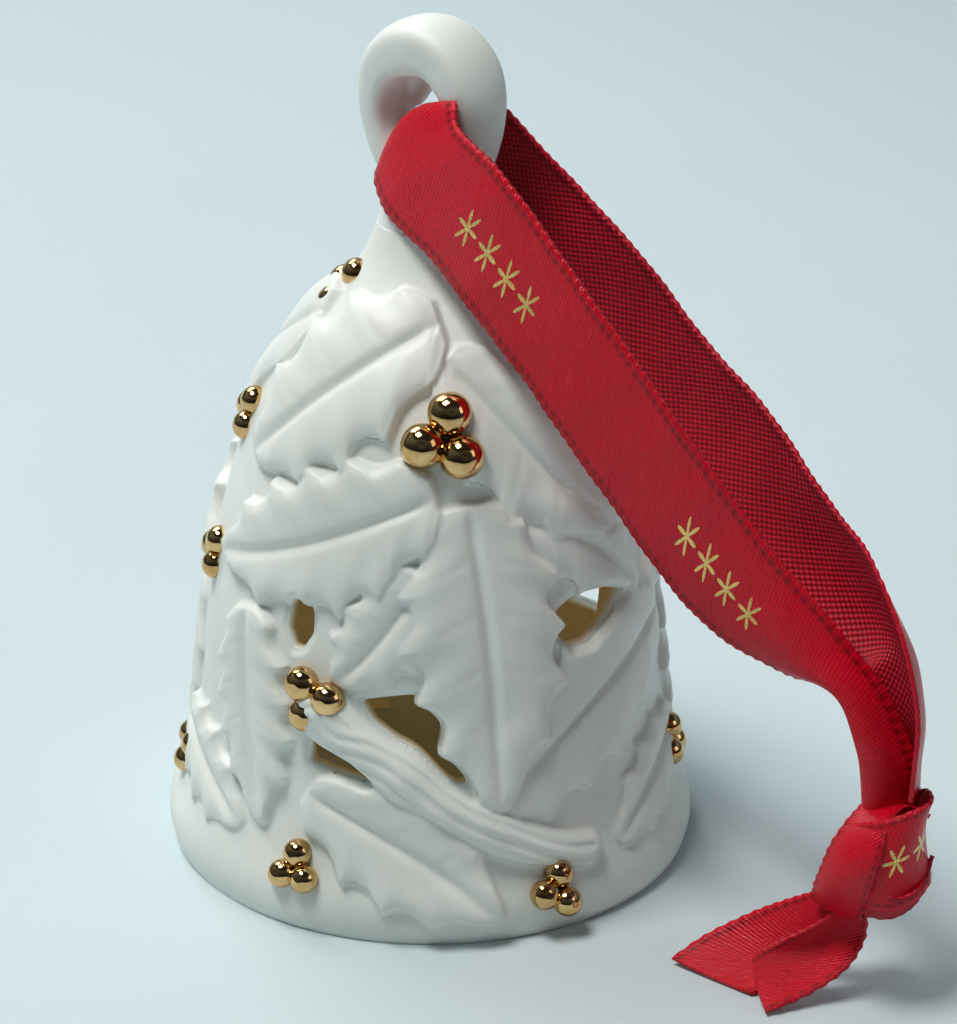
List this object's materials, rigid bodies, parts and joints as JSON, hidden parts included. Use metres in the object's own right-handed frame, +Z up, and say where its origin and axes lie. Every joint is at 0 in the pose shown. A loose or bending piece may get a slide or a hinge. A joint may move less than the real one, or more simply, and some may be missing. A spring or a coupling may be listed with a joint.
{
  "type": "christmas bell ornament",
  "caption": "Pierced bisque porcelain bell with relief holly leaves and gilded berries, a wire-hung clapper bead, a hanging ring and a knotted red satin ribbon loop.",
  "frame": {"origin": "on the bell's axis, in the plane of the rim that it stands on", "axes": "+Z up along the bell's axis; -Y is the front, where the centre holly leaf is; +X is the front's right, the side where the ribbon lies"},
  "size_m": [0.066, 0.062, 0.076],
  "materials": {
    "bisque": "matte",
    "bisque_ring": "matte",
    "bisque_leaf": "matte",
    "bisque_twig": "matte",
    "bisque_bead": "matte",
    "gilt_berry": "polished gold lustre",
    "clapper_wire": "polished",
    "cement": "rough",
    "satin": "satin"
  },
  "bodies": {
    "bell": {"bell_shell": "bisque", "hanging_ring": "bisque_ring", "leaf_shoulder_left": "bisque_leaf", "leaf_shoulder_right": "bisque_leaf", "leaf_middle_left": "bisque_leaf", "leaf_centre": "bisque_leaf", "leaf_middle_right": "bisque_leaf", "leaf_lower_right": "bisque_leaf", "leaf_bottom_centre": "bisque_leaf", "leaf_bottom_left": "bisque_leaf", "leaf_lower_left": "bisque_leaf", "leaf_small_centre": "bisque_leaf", "leaf_bottom_right": "bisque_leaf", "leaf_back_shoulder_left": "bisque_leaf", "leaf_back_shoulder_right": "bisque_leaf", "leaf_side_shoulder": "bisque_leaf", "leaf_back_centre": "bisque_leaf", "leaf_back_middle_right": "bisque_leaf", "leaf_back_middle_left": "bisque_leaf", "leaf_side_right": "bisque_leaf", "leaf_back_lower_left": "bisque_leaf", "leaf_side_left": "bisque_leaf", "leaf_back_bottom_right": "bisque_leaf", "leaf_back_bottom_left": "bisque_leaf", "twig_front": "bisque_twig", "twig_back": "bisque_twig", "berries_front": "gilt_berry", "berries_left": "gilt_berry", "berries_low_left": "gilt_berry", "berries_low_right": "gilt_berry", "berries_shoulder": "gilt_berry", "berries_side_high": "gilt_berry", "berries_side_middle": "gilt_berry", "berries_side_low": "gilt_berry", "berries_right_low": "gilt_berry", "berries_back_high": "gilt_berry", "berries_back_left": "gilt_berry", "berries_back_right": "gilt_berry", "berries_back_low": "gilt_berry", "clapper_eye": "clapper_wire", "crown_cement": "cement"},
    "link": {"clapper_link": "clapper_wire"},
    "clapper": {"clapper_stem": "clapper_wire", "clapper_bead": "bisque_bead"},
    "ribbon": {"ribbon_loop": "satin", "ribbon_throat": "satin", "ribbon_knot": "satin", "ribbon_tail_left": "satin", "ribbon_tail_front": "satin"}
  },
  "joints": [
    {"name": "link_swing", "type": "hinge", "parent": "bell", "child": "link", "pos_m": [0, 0, 0.0489], "axis": [1, 0, 0], "range_deg": [-17, 17]},
    {"name": "clapper_swing", "type": "hinge", "parent": "link", "child": "clapper", "pos_m": [0, 0, 0.04625], "axis": [0, 1, 0], "range_deg": [-17, 17]},
    {"name": "ribbon_swing", "type": "hinge", "parent": "bell", "child": "ribbon", "pos_m": [0, 0, 0.0683], "axis": [-0.6428, -0.766, 0], "range_deg": [0, 264]}
  ]
}
